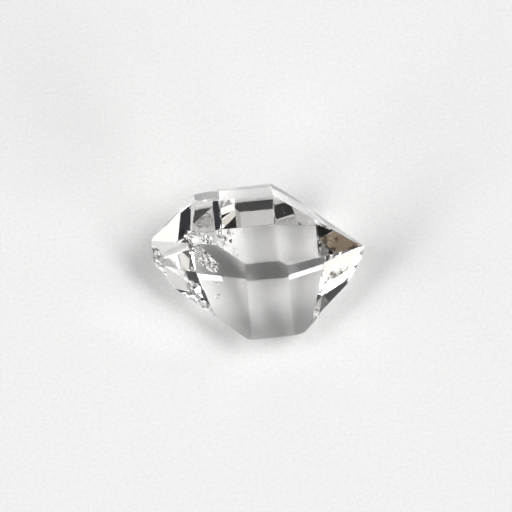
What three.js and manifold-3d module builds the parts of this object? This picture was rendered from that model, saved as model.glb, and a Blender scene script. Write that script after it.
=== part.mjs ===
// A herkimer diamond: one clear quartz crystal, pointed at both ends and lying on a flat prism face.
// Its long axis runs along X. The left point is chipped, and a rough groove crosses the face beside it.

import * as THREE from "three";
import { mergeVertices } from "three/addons/utils/BufferGeometryUtils.js";
import Module from "manifold-3d";

const wasm = await Module();
wasm.setup();

// Lengths are in millimetres and angles in degrees, measured from the middle where the crystal's axes meet.

// Every pyramid face of quartz leans this far from the long axis
const PYRAMID_LEAN = 51.79;

// How far each face lies from the middle, and its turn round the long axis, from the top towards the front
const SIDES = [
  { name: "top", turn: 0, prism: 7.02, left: 8.26, right: 7.13 },
  { name: "front", turn: 60, prism: 6.53, left: 5.99, right: 7.32 },
  { name: "low front", turn: 120, prism: 9.48, left: 8.63, right: 10.04 },
  { name: "bottom", turn: 180, prism: 8.54, left: 8.96, right: 9.18 },
  { name: "low back", turn: 240, prism: 8.38, left: 8.93, right: 9.2 },
  { name: "back", turn: 300, prism: 7.53, left: 9.94, right: 7.55 },
];

// Depth of the worn line along every edge
const EDGE_WEAR = 0.008;

// One more growth layer lies on the right low front face, and a slope leaning towards the point ends it
const LAYER = { side: "low front", lift: 0.32, lean: 0.4, reach: 9.95 };

// Rough breaks, each a run of sharp bites between two points of the plan seen from above.
// Size is the least and greatest half-width of a bite, wide the reach to each side of the run,
// and long how many times longer than wide the bites are.
const BREAKS = {
  groove: { from: [-7.4, 0.3], to: [-5.2, -2.0], bites: 58, size: [0.09, 0.2], wide: 0.5, long: 4.4 },
  grooveEnd: { from: [-5.2, -2.1], to: [-4.6, -2.7], bites: 9, size: [0.12, 0.28], wide: 0.28, long: 1.3 },
  upperRow: { from: [-7.9, 1.8], to: [-6.0, 1.1], bites: 22, size: [0.16, 0.4], wide: 0.42, long: 1.5 },
  upperTail: { from: [-6.0, 0.8], to: [-5.0, -0.1], bites: 14, size: [0.12, 0.28], wide: 0.32, long: 1.5 },
  corner: { from: [-4.2, 0.9], to: [-3.1, -0.7], bites: 20, size: [0.12, 0.3], wide: 0.5, long: 1.3 },
  cornerRim: { from: [-3.1, 1.0], to: [-2.6, 0.1], bites: 9, size: [0.08, 0.24], wide: 0.25, long: 1.2 },
  topSpecks: { from: [-3.5, -0.9], to: [-1.8, -2.5], bites: 12, size: [0.06, 0.14], wide: 0.45, long: 1.1 },
  faceNicks: { from: [-6.1, -2.5], to: [-4.3, -3.7], bites: 9, size: [0.07, 0.2], wide: 0.25, long: 1.8 },
  lowNicks: { from: [-5.4, -4.0], to: [-4.4, -5.0], bites: 6, size: [0.08, 0.2], wide: 0.15, long: 1.5 },
  backCorner: { from: [2.5, 5.9], to: [3.5, 4.4], bites: 6, size: [0.08, 0.2], wide: 0.2, long: 1.2 },
  backEdge: { from: [-3.7, 5.4], to: [-2.9, 4.3], bites: 4, size: [0.06, 0.14], wide: 0.15, long: 1.2 },
  leftPoint: { from: [-11.7, 1.9], to: [-11.2, 0.1], bites: 14, size: [0.07, 0.18], wide: 0.3, long: 1.4 },
  rightPoint: { from: [12.2, 0.4], to: [12.3, -0.4], bites: 5, size: [0.06, 0.15], wide: 0.15, long: 1.2 },
};

// How far the bites vary: each corner's reach, each bite's depth for its width, how far it stands
// out of the face, and its turn and tilt in radians
const BITE = { corner: [0.7, 1.2], depth: [0.9, 1.4], proud: [0.1, 0.4], turn: 0.3, tilt: 0.3 };

// Smooth shell-shaped chips at the edges: where in the plan, the curve's radius and how deep it goes
const CHIPS = [
  { name: "left point, upper", at: [-11.6, 1.7], radius: 2.0, depth: 0.16 },
  { name: "left point, middle", at: [-11.3, 0.95], radius: 2.4, depth: 0.22 },
  { name: "left point, lower", at: [-11.3, 0.1], radius: 1.8, depth: 0.18 },
  { name: "left edge, first", at: [-7.6, -3.85], radius: 3.2, depth: 0.22 },
  { name: "left edge, second", at: [-6.5, -4.8], radius: 3.0, depth: 0.24 },
  { name: "left edge, third", at: [-8.7, -2.9], radius: 1.8, depth: 0.12 },
  { name: "right point", at: [12.75, 0.05], radius: 1.4, depth: 0.3 },
  { name: "right corner", at: [10.7, -3.0], radius: 1.0, depth: 0.12 },
];

// How finely the balls that cut the chips are divided
const CHIP_DETAIL = 9;

// Fixed start of the random sequence that shapes the bites
const SEED = 41;

// Wider than the whole crystal, for the blocks that trim it
const TRIM_BLOCK = 60;

const CLEAR = new THREE.MeshStandardMaterial({
  color: 0xeceeed,
  roughness: 0.04,
  metalness: 0,
  transparent: true,
  opacity: 0.4,
});

const UP = new THREE.Vector3(0, 0, 1);
const ALONG = new THREE.Vector3(1, 0, 0);

THREE.MathUtils.seededRandom(SEED);

function randomBetween(low, high) {
  return low + (high - low) * THREE.MathUtils.seededRandom();
}

// A closed geometry as a solid that can be joined and cut
function solid(geometry) {
  const bare = geometry.clone();
  bare.deleteAttribute("normal");
  bare.deleteAttribute("uv");
  const merged = mergeVertices(bare);
  return new wasm.Manifold(new wasm.Mesh({
    numProp: 3,
    vertProperties: new Float32Array(merged.attributes.position.array),
    triVerts: new Uint32Array(merged.index.array),
  }));
}

function geometryOf(body) {
  const mesh = body.getMesh();
  const geometry = new THREE.BufferGeometry();
  geometry.setAttribute("position", new THREE.BufferAttribute(new Float32Array(mesh.vertProperties), 3));
  geometry.setIndex(new THREE.BufferAttribute(new Uint32Array(mesh.triVerts), 1));
  geometry.computeVertexNormals();
  return geometry;
}

// Outward direction of a prism face
function prismNormal(turn) {
  const angle = THREE.MathUtils.degToRad(turn);
  return new THREE.Vector3(0, -Math.sin(angle), Math.cos(angle));
}

// Outward direction of a pyramid face, where end is -1 for the left point and 1 for the right
function pyramidNormal(turn, end) {
  const lean = THREE.MathUtils.degToRad(PYRAMID_LEAN);
  return prismNormal(turn).multiplyScalar(Math.sin(lean)).addScaledVector(ALONG, end * Math.cos(lean));
}

// The planes of all faces, each an outward normal and a distance from the middle
function facePlanes(sides) {
  return sides.flatMap((side) => [
    { normal: prismNormal(side.turn), distance: side.prism },
    { normal: pyramidNormal(side.turn, -1), distance: side.left },
    { normal: pyramidNormal(side.turn, 1), distance: side.right },
  ]);
}

// A thin worn strip for every two faces: it cuts only where the two really meet in an edge
function wornEdges(planes) {
  const strips = [];
  planes.forEach((first, index) => {
    for (const second of planes.slice(index + 1)) {
      const between = first.normal.clone().add(second.normal);
      const length = between.length();
      if (length > EDGE_WEAR) {
        const distance = (first.distance + second.distance) / length - EDGE_WEAR;
        strips.push({ normal: between.divideScalar(length), distance });
      }
    }
  });
  return strips;
}

// Everything beyond a plane
function blockBeyond(plane) {
  const block = new THREE.BoxGeometry(TRIM_BLOCK, TRIM_BLOCK, TRIM_BLOCK);
  block.translate(0, 0, TRIM_BLOCK / 2 + plane.distance);
  block.applyQuaternion(new THREE.Quaternion().setFromUnitVectors(UP, plane.normal));
  return solid(block);
}

function trim(body, planes) {
  return planes.reduce((rest, plane) => rest.subtract(blockBeyond(plane)), body);
}

// The whole crystal with sharp, flat faces and worn edges
function grownCrystal(sides) {
  const planes = facePlanes(sides);
  const block = solid(new THREE.BoxGeometry(TRIM_BLOCK / 2, TRIM_BLOCK / 2, TRIM_BLOCK / 2));
  return trim(block, [...planes, ...wornEdges(planes)]);
}

// The crystal with its extra growth layer
function layeredCrystal() {
  const lifted = SIDES.map((side) => (
    side.name === LAYER.side ? { ...side, right: side.right + LAYER.lift } : side
  ));
  const { turn } = SIDES.find((side) => side.name === LAYER.side);
  const slope = pyramidNormal(turn, 1).addScaledVector(ALONG, LAYER.lean).normalize();
  const layer = trim(grownCrystal(lifted), [{ normal: slope, distance: LAYER.reach }]);
  return grownCrystal(SIDES).add(layer);
}

// The point of the upper surface over a point of the plan, with the face's outward normal
function surfaceAt(x, y) {
  const heights = facePlanes(SIDES)
    .filter(({ normal }) => normal.z > 0)
    .map(({ normal, distance }) => ({ normal, z: (distance - normal.x * x - normal.y * y) / normal.z }));
  const lowest = heights.reduce((best, next) => (next.z < best.z ? next : best));
  return { point: new THREE.Vector3(x, y, lowest.z), normal: lowest.normal };
}

// One sharp bite: a rough lump, long along its run, sunk partly into the face
function bite(mark, run) {
  const along = THREE.MathUtils.seededRandom();
  const side = randomBetween(-mark.wide, mark.wide);
  const x = THREE.MathUtils.lerp(mark.from[0], mark.to[0], along) - run.y * side;
  const y = THREE.MathUtils.lerp(mark.from[1], mark.to[1], along) + run.x * side;
  const { point, normal } = surfaceAt(x, y);
  const size = randomBetween(...mark.size);
  const lump = roughLump();
  lump.rotateZ(randomBetween(-Math.PI, Math.PI));
  lump.scale(size * mark.long, size, size * randomBetween(...BITE.depth));
  lump.rotateZ(randomBetween(-BITE.turn, BITE.turn));
  lump.rotateX(randomBetween(-BITE.tilt, BITE.tilt));
  const heading = run.clone().projectOnPlane(normal).normalize();
  const across = new THREE.Vector3().crossVectors(normal, heading);
  lump.applyMatrix4(new THREE.Matrix4().makeBasis(heading, across, normal));
  const middle = point.addScaledVector(normal, size * randomBetween(...BITE.proud));
  lump.translate(middle.x, middle.y, middle.z);
  return solid(lump);
}

// A twenty-sided lump about a unit in radius, with its corners moved in and out
function roughLump() {
  const ball = new THREE.IcosahedronGeometry(1, 0).deleteAttribute("normal").deleteAttribute("uv");
  const lump = mergeVertices(ball);
  const corners = lump.attributes.position;
  const corner = new THREE.Vector3();
  for (let index = 0; index < corners.count; index += 1) {
    corner.fromBufferAttribute(corners, index).multiplyScalar(randomBetween(...BITE.corner));
    corners.setXYZ(index, corner.x, corner.y, corner.z);
  }
  return lump;
}

function breakBites(mark) {
  const run = new THREE.Vector3(mark.to[0] - mark.from[0], mark.to[1] - mark.from[1], 0).normalize();
  return Array.from({ length: mark.bites }, () => bite(mark, run));
}

// One shell-shaped chip: a ball that dips into the surface
function chip({ at, radius, depth }) {
  const { point, normal } = surfaceAt(...at);
  const ball = new THREE.IcosahedronGeometry(radius, CHIP_DETAIL);
  const middle = point.addScaledVector(normal, radius - depth);
  ball.translate(middle.x, middle.y, middle.z);
  return solid(ball);
}

function chippedCrystal() {
  const cuts = [...CHIPS.map(chip), ...Object.values(BREAKS).flatMap(breakBites)];
  const body = cuts.reduce((rest, cut) => rest.subtract(cut), layeredCrystal());
  return body.decompose().reduce((main, piece) => (piece.volume() > main.volume() ? piece : main));
}

const geometry = geometryOf(chippedCrystal());
geometry.computeBoundingBox();
const { min, max } = geometry.boundingBox;
geometry.translate(-(min.x + max.x) / 2, -(min.y + max.y) / 2, -min.z);

const crystal = new THREE.Mesh(geometry, CLEAR);
crystal.name = "crystal";

const herkimer = new THREE.Group();
herkimer.add(crystal);

export default herkimer;
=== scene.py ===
"""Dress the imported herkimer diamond: clear grown faces, worn edges, rough breaks and a soft studio."""

from __future__ import annotations

import logging
import math
from collections import defaultdict
from dataclasses import dataclass
from enum import Enum
from typing import Union

import bmesh
import bpy
from mathutils import Matrix, Vector, noise

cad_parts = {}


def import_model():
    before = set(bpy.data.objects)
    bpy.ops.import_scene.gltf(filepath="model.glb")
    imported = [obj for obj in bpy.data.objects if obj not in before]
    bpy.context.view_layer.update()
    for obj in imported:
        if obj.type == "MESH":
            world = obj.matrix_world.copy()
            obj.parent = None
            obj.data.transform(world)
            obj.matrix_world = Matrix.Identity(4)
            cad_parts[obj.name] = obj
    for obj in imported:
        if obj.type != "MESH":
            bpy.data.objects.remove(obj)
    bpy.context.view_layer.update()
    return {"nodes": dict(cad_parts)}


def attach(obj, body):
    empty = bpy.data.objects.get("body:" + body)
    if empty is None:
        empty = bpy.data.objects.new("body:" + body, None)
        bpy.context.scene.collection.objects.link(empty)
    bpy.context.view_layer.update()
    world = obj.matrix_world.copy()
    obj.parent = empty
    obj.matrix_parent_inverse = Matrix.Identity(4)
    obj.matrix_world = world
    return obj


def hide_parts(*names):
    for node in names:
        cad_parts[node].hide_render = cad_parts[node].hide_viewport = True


LOG = logging.getLogger("herkimer")

# Lengths are in metres
MM = 0.001
MICRON = 0.000001

# The mesh attribute that holds each triangle's kind of surface, and half the step between two kinds
KIND = "surface_kind"
HALF_KIND = 0.5

# An X far left of the crystal: dirt that starts there is everywhere
FAR_LEFT = -1.0

# How many finer layers a noise has
BROAD_DETAIL = 1.0
FINE_DETAIL = 2.0

# The noise at which smooth turns into matt, and clean into dirty
PATCH_EDGES = (0.4, 0.6)
SPOT_EDGES = (0.52, 0.6)

# Noise drawn out along Y and Z makes lines that run across the crystal's long axis
LINE_STRETCH = (1.0, 0.04, 0.04)

# The places of the sockets that a Mix node uses for colours, because it repeats their names
MIX_SHARE = 0
MIX_BEHIND = 6
MIX_FRONT = 7
MIX_COLOUR = 2

Colour = tuple[float, float, float]
Value = Union[float, bpy.types.NodeSocket]
Shade = Union[Colour, bpy.types.NodeSocket]


class Surface(Enum):
    """The kinds of surface on the crystal, by the number that its triangles carry."""

    FACE = 0
    STAINED = 1
    EDGE = 2
    CHIP = 3
    PIT = 4


class GroupName(Enum):
    """Shader node groups that are placed more than once."""

    GROWTH = "growth_relief"


def grey(level: float) -> Colour:
    """Give the grey of one level."""
    return (level, level, level)


def new_group(name: GroupName, inputs: dict[str, float], outputs: list[str]) -> bpy.types.NodeTree:
    """Make an empty shader node group with number sockets.

    Args:
        name: The group's name.
        inputs: Input names with their default values.
        outputs: Output names.

    Returns:
        The new group, with its Group Input and Group Output nodes in place.
    """
    group = bpy.data.node_groups.new(name.value, "ShaderNodeTree")
    for label, default in inputs.items():
        socket = group.interface.new_socket(label, in_out="INPUT", socket_type="NodeSocketFloat")
        socket.default_value = default
    for label in outputs:
        group.interface.new_socket(label, in_out="OUTPUT", socket_type="NodeSocketFloat")
    group.nodes.new("NodeGroupInput")
    group.nodes.new("NodeGroupOutput")
    return group


def feed(tree: bpy.types.NodeTree, value: Value | Shade, socket: bpy.types.NodeSocket) -> None:
    """Link an output to an input socket, or set that socket to a plain value.

    Args:
        tree: The node tree that holds the socket.
        value: An output socket, a number or a colour.
        socket: The input socket.
    """
    if isinstance(value, bpy.types.NodeSocket):
        tree.links.new(value, socket)
    elif isinstance(value, tuple):
        socket.default_value = (*value, 1.0)
    else:
        socket.default_value = value


def math_node(tree: bpy.types.NodeTree, operation: str, *values: Value) -> bpy.types.NodeSocket:
    """Add a Math node and return its result.

    Args:
        tree: The node tree to add to.
        operation: The Math node's operation.
        values: Its inputs in order, each a number or an output socket.

    Returns:
        The node's output socket.
    """
    node = tree.nodes.new("ShaderNodeMath")
    node.operation = operation
    for socket, value in zip(node.inputs, values):
        feed(tree, value, socket)
    return node.outputs[0]


def colour_mix(
    tree: bpy.types.NodeTree, share: Value, behind: Shade, front: Shade
) -> bpy.types.NodeSocket:
    """Lay one colour over another.

    Args:
        tree: The node tree to add to.
        share: How much of the front colour shows.
        behind: The colour behind, plain or an output socket.
        front: The colour in front, plain or an output socket.

    Returns:
        The mixed colour.
    """
    node = tree.nodes.new("ShaderNodeMix")
    node.data_type = "RGBA"
    feed(tree, share, node.inputs[MIX_SHARE])
    feed(tree, behind, node.inputs[MIX_BEHIND])
    feed(tree, front, node.inputs[MIX_FRONT])
    return node.outputs[MIX_COLOUR]


def noise_texture(
    tree: bpy.types.NodeTree, place: bpy.types.NodeSocket, scale: Value, detail: float
) -> bpy.types.NodeSocket:
    """Add a noise texture and return its value.

    Args:
        tree: The node tree to add to.
        place: The point of the surface.
        scale: How many grains there are in a metre.
        detail: How many finer layers the noise has.

    Returns:
        The noise, about 0.5 on average.
    """
    texture = tree.nodes.new("ShaderNodeTexNoise")
    feed(tree, place, texture.inputs["Vector"])
    feed(tree, scale, texture.inputs["Scale"])
    feed(tree, detail, texture.inputs["Detail"])
    return texture.outputs[0]


def soft_mask(
    tree: bpy.types.NodeTree, value: bpy.types.NodeSocket, empty: float, full: float
) -> bpy.types.NodeSocket:
    """Turn a value into a mask that changes smoothly from one limit to the other.

    Args:
        tree: The node tree to add to.
        value: The value to judge.
        empty: Where the mask is still 0.
        full: Where the mask is fully 1, above or below the other limit.

    Returns:
        The mask.
    """
    step = tree.nodes.new("ShaderNodeMapRange")
    step.interpolation_type = "SMOOTHSTEP"
    feed(tree, value, step.inputs["Value"])
    feed(tree, empty, step.inputs["From Min"])
    feed(tree, full, step.inputs["From Max"])
    return step.outputs["Result"]


@dataclass(frozen=True)
class Finish:
    """How one kind of surface is polished, what relief it carries and how dirty it is.

    The relief is in microns, and scales are in grains to the metre. The swells and lines are as high as
    their weights times the relief. Roughness runs in patches from smooth to matt. Dirt is the share of
    the dirt colour in small spots, right of where it starts along X, in metres.
    """

    smooth: float = 0.0
    matt: float = 0.0
    relief: float = 1.0
    swell_scale: float = 260.0
    swell: float = 1.0
    line_scale: float = 2600.0
    lines: float = 0.25
    patch_scale: float = 1500.0
    dirt: float = 0.0
    dirt_scale: float = 4000.0
    dirt_start: float = FAR_LEFT

    def growth_values(self) -> dict[str, float]:
        """Give what this finish sets on the growth group.

        Returns:
            The group's input names with their values.
        """
        return {
            "Swell Scale": self.swell_scale,
            "Swell": self.swell,
            "Line Scale": self.line_scale,
            "Lines": self.lines,
            "Patch Scale": self.patch_scale,
            "Smooth": self.smooth,
            "Matt": self.matt,
            "Dirt Scale": self.dirt_scale,
            "Dirt Start": self.dirt_start,
        }

    def growth(self, tree: bpy.types.NodeTree) -> bpy.types.ShaderNodeGroup:
        """Place the growth group with this finish's values.

        Args:
            tree: The material's node tree.

        Returns:
            The group's node.
        """
        node = tree.nodes.new("ShaderNodeGroup")
        node.node_tree = bpy.data.node_groups[GroupName.GROWTH.value]
        for label, value in self.growth_values().items():
            node.inputs[label].default_value = value
        return node


FINISHES: dict[Surface, Finish] = {
    Surface.FACE: Finish(),
    Surface.STAINED: Finish(dirt=0.9, dirt_scale=1100.0, dirt_start=7.0 * MM),
    Surface.EDGE: Finish(matt=0.1, relief=0.0),
    Surface.CHIP: Finish(smooth=0.1, matt=0.5, relief=2.0, swell_scale=3000.0),
    Surface.PIT: Finish(
        smooth=0.03, matt=0.4, relief=3.0, swell_scale=5200.0, patch_scale=2500.0, dirt=1.0
    ),
}


def growth_group() -> bpy.types.NodeTree:
    """Build what growth and wear leave on quartz: broad swells, fine lines, matt patches and dirt.

    Returns:
        The group. Height is in units of the relief, Frost runs from Smooth to Matt, and Dirt from
        0 to 1.
    """
    tree = new_group(GroupName.GROWTH, Finish().growth_values(), ["Height", "Frost", "Dirt"])
    given = tree.nodes["Group Input"].outputs
    made = tree.nodes["Group Output"].inputs
    place = tree.nodes.new("ShaderNodeTexCoord").outputs["Object"]
    stretch = tree.nodes.new("ShaderNodeVectorMath")
    stretch.operation = "MULTIPLY"
    stretch.inputs[1].default_value = LINE_STRETCH
    tree.links.new(place, stretch.inputs[0])
    swell = noise_texture(tree, place, given["Swell Scale"], BROAD_DETAIL)
    lines = noise_texture(tree, stretch.outputs[0], given["Line Scale"], FINE_DETAIL)
    height = math_node(
        tree,
        "ADD",
        math_node(tree, "MULTIPLY", swell, given["Swell"]),
        math_node(tree, "MULTIPLY", lines, given["Lines"]),
    )
    tree.links.new(height, made["Height"])
    patch = soft_mask(tree, noise_texture(tree, place, given["Patch Scale"], FINE_DETAIL), *PATCH_EDGES)
    step = math_node(tree, "SUBTRACT", given["Matt"], given["Smooth"])
    tree.links.new(math_node(tree, "MULTIPLY_ADD", patch, step, given["Smooth"]), made["Frost"])
    spots = soft_mask(tree, noise_texture(tree, place, given["Dirt Scale"], BROAD_DETAIL), *SPOT_EDGES)
    across = tree.nodes.new("ShaderNodeSeparateXYZ")
    tree.links.new(place, across.inputs[0])
    beyond = math_node(tree, "GREATER_THAN", across.outputs["X"], given["Dirt Start"])
    tree.links.new(math_node(tree, "MULTIPLY", spots, beyond), made["Dirt"])
    return tree


@dataclass(frozen=True)
class Quartz:
    """The crystal's one clear material, in which every kind of surface has its own finish.

    It is a single material because light that enters through one kind of surface and leaves through
    another must pass through the same body of quartz.
    """

    name: str = "clear_quartz"
    ior: float = 1.5485
    tint: Colour = grey(1.0)
    dirt: Colour = (0.035, 0.022, 0.014)
    depth_tint: Colour = (0.81, 0.80, 0.79)
    depth_density: float = 35.0

    def material(self) -> bpy.types.Material:
        """Build the see-through material.

        Returns:
            A material with plain transmission and a plain volume absorption.
        """
        material = bpy.data.materials.new(self.name)
        material.use_nodes = True
        tree = material.node_tree
        shader = tree.nodes["Principled BSDF"]
        shader.inputs["IOR"].default_value = self.ior
        shader.inputs["Metallic"].default_value = 0.0
        shader.inputs["Transmission Weight"].default_value = 1.0
        height, rough, dirt = self.blend(tree)
        bump = tree.nodes.new("ShaderNodeBump")
        bump.inputs["Strength"].default_value = 1.0
        bump.inputs["Distance"].default_value = MICRON
        feed(tree, height, bump.inputs["Height"])
        tree.links.new(bump.outputs["Normal"], shader.inputs["Normal"])
        feed(tree, rough, shader.inputs["Roughness"])
        tree.links.new(colour_mix(tree, dirt, self.tint, self.dirt), shader.inputs["Base Color"])
        absorption = tree.nodes.new("ShaderNodeVolumeAbsorption")
        feed(tree, self.depth_tint, absorption.inputs["Color"])
        absorption.inputs["Density"].default_value = self.depth_density
        tree.links.new(absorption.outputs["Volume"], tree.nodes["Material Output"].inputs["Volume"])
        return material

    @staticmethod
    def blend(tree: bpy.types.NodeTree) -> tuple[Value, Value, Value]:
        """Let every finish act on its own kind of surface only.

        Args:
            tree: The material's node tree.

        Returns:
            The relief's height in microns, the roughness and the share of dirt.
        """
        kind = tree.nodes.new("ShaderNodeAttribute")
        kind.attribute_name = KIND
        height: Value = 0.0
        rough: Value = 0.0
        dirt: Value = 0.0
        for surface, finish in FINISHES.items():
            here = math_node(tree, "COMPARE", kind.outputs["Fac"], float(surface.value), HALF_KIND)
            growth = finish.growth(tree).outputs
            if finish.relief > 0.0:
                share = math_node(tree, "MULTIPLY", here, finish.relief)
                height = math_node(tree, "MULTIPLY_ADD", growth["Height"], share, height)
            if finish.matt > 0.0:
                rough = math_node(tree, "MULTIPLY_ADD", growth["Frost"], here, rough)
            if finish.dirt > 0.0:
                share = math_node(tree, "MULTIPLY", here, finish.dirt)
                dirt = math_node(tree, "MULTIPLY_ADD", growth["Dirt"], share, dirt)
        return height, rough, dirt


@dataclass
class Crystal:
    """The one clear crystal, in place of its solid.

    Triangles whose normals and distances round to the same digits make a flat stretch. Stretches
    larger than the least face are grown faces, and others larger than the least edge are worn edges.
    All that is left is broken surface, which is divided and roughened: clean chips low down, and dirty
    pits above the pit level. The face on the right end's upper side is stained, which a face is when
    the cosine between its normal and that side is above the limit.
    """

    node: str = "crystal"
    name: str = "clear_crystal"
    body: str = "root"
    slot: str = "clear_quartz"
    normal_digits: int = 2
    distance_digits: int = 1
    least_face: float = 2.0 * MM * MM
    least_edge: float = 0.12 * MM * MM
    pit_level: float = 10.5 * MM
    stained_side: tuple[float, float, float] = (0.618, 0.0, 0.786)
    stained_cosine: float = 0.99
    weld: float = 0.5 * MICRON
    rough_height: float = 0.012 * MM
    rough_scale: float = 7.0 / MM
    grain_cuts: int = 1

    def build(self, solid: bpy.types.Object) -> bpy.types.Object:
        """Make the crystal's mesh from its solid and dress it.

        Args:
            solid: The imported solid, which is only read.

        Returns:
            The dressed crystal.
        """
        mesh = bmesh.new()
        mesh.from_mesh(solid.data)
        bmesh.ops.remove_doubles(mesh, verts=mesh.verts, dist=self.weld)
        bmesh.ops.recalc_face_normals(mesh, faces=mesh.faces)
        self.sort_surfaces(mesh)
        self.roughen(mesh)
        data = bpy.data.meshes.new(self.name)
        mesh.to_mesh(data)
        mesh.free()
        piece = bpy.data.objects.new(self.name, data)
        bpy.context.scene.collection.objects.link(piece)
        self.dress(piece)
        return piece

    def sort_surfaces(self, mesh: bmesh.types.BMesh) -> None:
        """Give every triangle the number of its kind of surface.

        Args:
            mesh: The welded solid.
        """
        stretches: dict[tuple, list[bmesh.types.BMFace]] = defaultdict(list)
        for face in mesh.faces:
            normal = (round(part, self.normal_digits) for part in face.normal)
            distance = face.normal.dot(face.calc_center_median()) / MM
            stretches[(*normal, round(distance, self.distance_digits))].append(face)
        for faces in stretches.values():
            area = sum(face.calc_area() for face in faces)
            for face in faces:
                face.material_index = self.kind(face, area).value

    def kind(self, face: bmesh.types.BMFace, area: float) -> Surface:
        """Tell what kind of surface a triangle belongs to.

        Args:
            face: The triangle.
            area: The area of the flat stretch it lies in.

        Returns:
            The kind of surface.
        """
        if area > self.least_face:
            stained = face.normal.dot(self.stained_side) > self.stained_cosine
            return Surface.STAINED if stained else Surface.FACE
        if area > self.least_edge:
            return Surface.EDGE
        if face.calc_center_median().z > self.pit_level:
            return Surface.PIT
        return Surface.CHIP

    @staticmethod
    def is_broken(face: bmesh.types.BMFace) -> bool:
        """Tell whether a triangle is broken surface."""
        return face.material_index in (Surface.CHIP.value, Surface.PIT.value)

    def roughen(self, mesh: bmesh.types.BMesh) -> None:
        """Divide the broken surface and push its inner points in and out.

        Args:
            mesh: The sorted mesh.
        """
        inner = [edge for edge in mesh.edges if all(self.is_broken(face) for face in edge.link_faces)]
        bmesh.ops.subdivide_edges(mesh, edges=inner, cuts=self.grain_cuts, use_grid_fill=True)
        bmesh.ops.triangulate(mesh, faces=[face for face in mesh.faces if len(face.verts) > 3])
        mesh.normal_update()
        for vertex in mesh.verts:
            if all(self.is_broken(face) for face in vertex.link_faces):
                lift = noise.noise(vertex.co * self.rough_scale)
                vertex.co += vertex.normal * (lift * self.rough_height)

    def dress(self, piece: bpy.types.Object) -> None:
        """Give the crystal its finishes and set it in the frame.

        Args:
            piece: The finished crystal.
        """
        polygons = piece.data.polygons
        kinds = [float(polygon.material_index) for polygon in polygons]
        piece.data.attributes.new(KIND, "FLOAT", "FACE").data.foreach_set("value", kinds)
        polygons.foreach_set("material_index", [0] * len(polygons))
        polygons.foreach_set("use_smooth", [False] * len(polygons))
        piece.data.materials.append(Quartz().material())
        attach(piece, self.body)
        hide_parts(self.node)


@dataclass
class Floor:
    """The plain pale floor, a hair below the crystal so that the two surfaces never share a plane.

    Its brightness varies a little in fine grains, whose scale is in grains to the metre.
    """

    half_width: float = 1.5
    gap: float = 0.03 * MM
    dark: Colour = grey(0.75)
    pale: Colour = grey(0.89)
    grain_scale: float = 2600.0
    roughness: float = 0.9

    def build(self) -> bpy.types.Object:
        """Make the floor.

        Returns:
            The floor.
        """
        reach = self.half_width
        corners = [(-reach, -reach), (reach, -reach), (reach, reach), (-reach, reach)]
        data = bpy.data.meshes.new("floor")
        data.from_pydata([(x, y, -self.gap) for x, y in corners], [], [(0, 1, 2, 3)])
        floor = bpy.data.objects.new("floor", data)
        bpy.context.scene.collection.objects.link(floor)
        data.materials.append(self.material())
        return floor

    def material(self) -> bpy.types.Material:
        """Make the floor's matt, finely grained material.

        Returns:
            The material.
        """
        material = bpy.data.materials.new("pale_floor")
        material.use_nodes = True
        tree = material.node_tree
        shader = tree.nodes["Principled BSDF"]
        shader.inputs["Roughness"].default_value = self.roughness
        shader.inputs["Specular IOR Level"].default_value = 0.0
        place = tree.nodes.new("ShaderNodeTexCoord").outputs["Object"]
        grain = noise_texture(tree, place, self.grain_scale, FINE_DETAIL)
        tree.links.new(colour_mix(tree, grain, self.dark, self.pale), shader.inputs["Base Color"])
        return material


@dataclass(frozen=True)
class Card:
    """One soft-edged panel of the studio, as seen from the crystal.

    Angles are in degrees: the bearing runs from the back (0) to the right (90), and height is above
    the floor. Wide and tall are from edge to edge, and soft is the width of the edge itself.
    """

    name: str
    bearing: float
    height: float
    wide: float
    tall: float
    light: Colour
    soft: float = 6.0


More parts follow.
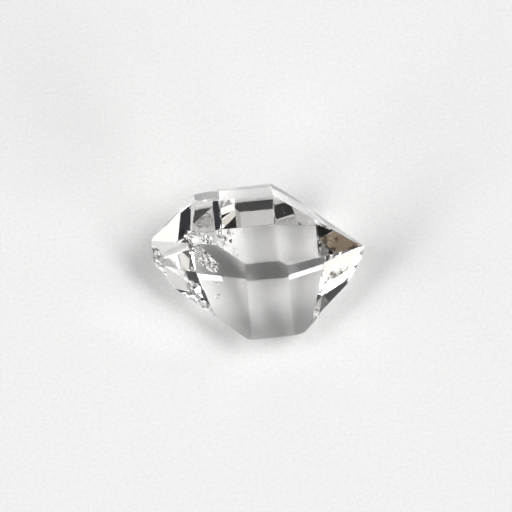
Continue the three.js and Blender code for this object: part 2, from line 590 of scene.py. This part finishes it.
@dataclass
class Studio:
    """The light all round: a dim room with soft panels, and a plain pale backdrop behind the crystal."""

    surround: Colour = grey(0.025)
    backdrop: Colour = grey(0.86)
    cards: tuple[Card, ...] = (
        Card("dim ceiling", bearing=0, height=78, wide=360, tall=28, light=grey(0.07)),
        Card("right softbox", bearing=100, height=56, wide=60, tall=28, light=grey(14.0)),
        Card("right middle panel", bearing=115, height=56, wide=41, tall=10, light=grey(9.5)),
        Card("right side panel", bearing=91, height=41, wide=52, tall=25, light=grey(0.9)),
        Card("right back panel", bearing=82, height=52, wide=32, tall=22, light=(1.4, 1.38, 1.33)),
        Card("right low fill", bearing=141, height=8, wide=33, tall=32, light=grey(7.6)),
        Card("left softbox", bearing=-105, height=48, wide=30, tall=42, light=grey(5.7)),
        Card("left front strip", bearing=-124, height=18, wide=14, tall=36, light=grey(5.0)),
        Card("left low panel", bearing=-89, height=27, wide=33, tall=14, light=(1.3, 1.27, 1.2)),
        Card("left back spot", bearing=-81, height=51, wide=8, tall=6, light=grey(7.2)),
        Card("back glow", bearing=24, height=22, wide=24, tall=22, light=(0.6, 0.58, 0.55)),
        Card("back high panel", bearing=32, height=56, wide=18, tall=14, light=grey(0.8)),
        Card("tan card", bearing=-112, height=20, wide=12, tall=12, light=(0.5, 0.38, 0.27), soft=4),
        Card("dark card", bearing=121, height=38, wide=15, tall=14, light=(0.05, 0.05, 0.06), soft=4),
    )

    def build(self) -> bpy.types.World:
        """Make the world that lights the scene.

        Returns:
            The world, set on the scene.
        """
        world = bpy.data.worlds.new("studio")
        world.use_nodes = True
        tree = world.node_tree
        direction = tree.nodes.new("ShaderNodeTexCoord").outputs["Generated"]
        parts = tree.nodes.new("ShaderNodeSeparateXYZ")
        tree.links.new(direction, parts.inputs[0])
        bearing = math_node(tree, "ARCTAN2", parts.outputs["X"], parts.outputs["Y"])
        height = math_node(tree, "ARCSINE", parts.outputs["Z"])
        light: Shade = self.surround
        for card in self.cards:
            light = self.add_card(tree, card, bearing, height, light)
        direct = tree.nodes.new("ShaderNodeLightPath").outputs["Is Camera Ray"]
        seen = colour_mix(tree, direct, light, self.backdrop)
        tree.links.new(seen, tree.nodes["Background"].inputs["Color"])
        bpy.context.scene.world = world
        return world

    def add_card(
        self,
        tree: bpy.types.NodeTree,
        card: Card,
        bearing: bpy.types.NodeSocket,
        height: bpy.types.NodeSocket,
        behind: Shade,
    ) -> bpy.types.NodeSocket:
        """Lay one card over what is behind it.

        Args:
            tree: The world's node tree.
            card: The card to add.
            bearing: The bearing of each direction, in radians.
            height: The height of each direction, in radians.
            behind: The light behind the card, a colour or an output socket.

        Returns:
            The light with the card in it.
        """
        turned = math_node(tree, "SUBTRACT", bearing, math.radians(card.bearing))
        aside = math_node(tree, "ABSOLUTE", math_node(tree, "WRAP", turned, math.pi, -math.pi))
        raised = math_node(tree, "SUBTRACT", height, math.radians(card.height))
        above = math_node(tree, "ABSOLUTE", raised)
        inside = math_node(
            tree,
            "MULTIPLY",
            self.within(tree, aside, card.wide / 2, card.soft),
            self.within(tree, above, card.tall / 2, card.soft),
        )
        return colour_mix(tree, inside, behind, card.light)

    @staticmethod
    def within(
        tree: bpy.types.NodeTree, angle: bpy.types.NodeSocket, edge: float, soft: float
    ) -> bpy.types.NodeSocket:
        """Fall smoothly from 1 inside a card's edge to 0 outside it.

        Args:
            tree: The node tree to add to.
            angle: The angle from the card's middle, in radians.
            edge: Where the fall is half done, in degrees.
            soft: How wide the fall is, in degrees.

        Returns:
            The falling value.
        """
        outer = math.radians(edge + soft / 2)
        inner = math.radians(edge - soft / 2)
        return soft_mask(tree, angle, outer, inner)


@dataclass
class PhotoCamera:
    """The camera where the photograph was taken from.

    Angles are in degrees and lengths in metres, apart from the sensor's width in millimetres. The
    clip planes are nearer and farther than the aim by the factor of the clip span.
    """

    height: float = 69.36
    turn: float = -0.24
    roll: float = -5.38
    distance: float = 0.6
    view_width: float = 59.96 * MM
    sensor: float = 36.0
    clip_span: float = 100.0
    aim: tuple[float, float, float] = (-0.379 * MM, 0.029 * MM, 8.54 * MM)

    def build(self) -> bpy.types.Object:
        """Make the camera and set it on the scene.

        Returns:
            The camera.
        """
        data = bpy.data.cameras.new("photo_camera")
        data.sensor_width = self.sensor
        data.lens = self.sensor * self.distance / self.view_width
        data.clip_start = self.distance / self.clip_span
        data.clip_end = self.distance * self.clip_span
        camera = bpy.data.objects.new("photo_camera", data)
        bpy.context.scene.collection.objects.link(camera)
        height, turn, roll = (math.radians(angle) for angle in (self.height, self.turn, self.roll))
        right = Vector((math.cos(turn), math.sin(turn), 0.0))
        ahead = Vector((-math.sin(turn), math.cos(turn), 0.0))
        upright = Vector((0.0, 0.0, 1.0))
        above = ahead * math.sin(height) + upright * math.cos(height)
        back = upright * math.sin(height) - ahead * math.cos(height)
        across = right * math.cos(roll) + above * math.sin(roll)
        upward = above * math.cos(roll) - right * math.sin(roll)
        pose = Matrix((across, upward, back)).transposed().to_4x4()
        pose.translation = Vector(self.aim) + back * self.distance
        camera.matrix_world = pose
        bpy.context.scene.camera = camera
        return camera


@dataclass(frozen=True)
class LightPaths:
    """How often light is followed through the crystal, and that tones are shown as they are."""

    bounces: int = 32
    through: int = 32
    mirrored: int = 16
    scattered: int = 4
    blur: float = 0.0
    brightest: float = 20.0
    tones: str = "Standard"

    def build(self) -> None:
        """Set the light paths on the scene."""
        scene = bpy.context.scene
        scene.cycles.max_bounces = self.bounces
        scene.cycles.transmission_bounces = self.through
        scene.cycles.glossy_bounces = self.mirrored
        scene.cycles.diffuse_bounces = self.scattered
        scene.cycles.blur_glossy = self.blur
        scene.cycles.sample_clamp_indirect = self.brightest
        scene.view_settings.view_transform = self.tones


def main() -> None:
    """Build everything in order: frame, camera, crystal, floor, light."""
    logging.basicConfig(level=logging.INFO, format="%(name)s: %(message)s")
    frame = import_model()
    camera = PhotoCamera().build()
    LOG.info("camera %s with a %.0f mm lens", camera.name, camera.data.lens)
    growth_group()
    crystal = Crystal()
    piece = crystal.build(frame["nodes"][crystal.node])
    LOG.info("crystal %s with %d triangles", piece.name, len(piece.data.polygons))
    floor = Floor().build()
    LOG.info("stage %s", floor.name)
    studio = Studio()
    studio.build()
    LOG.info("studio with %d cards", len(studio.cards))
    LightPaths().build()


if __name__ == "__main__":
    main()
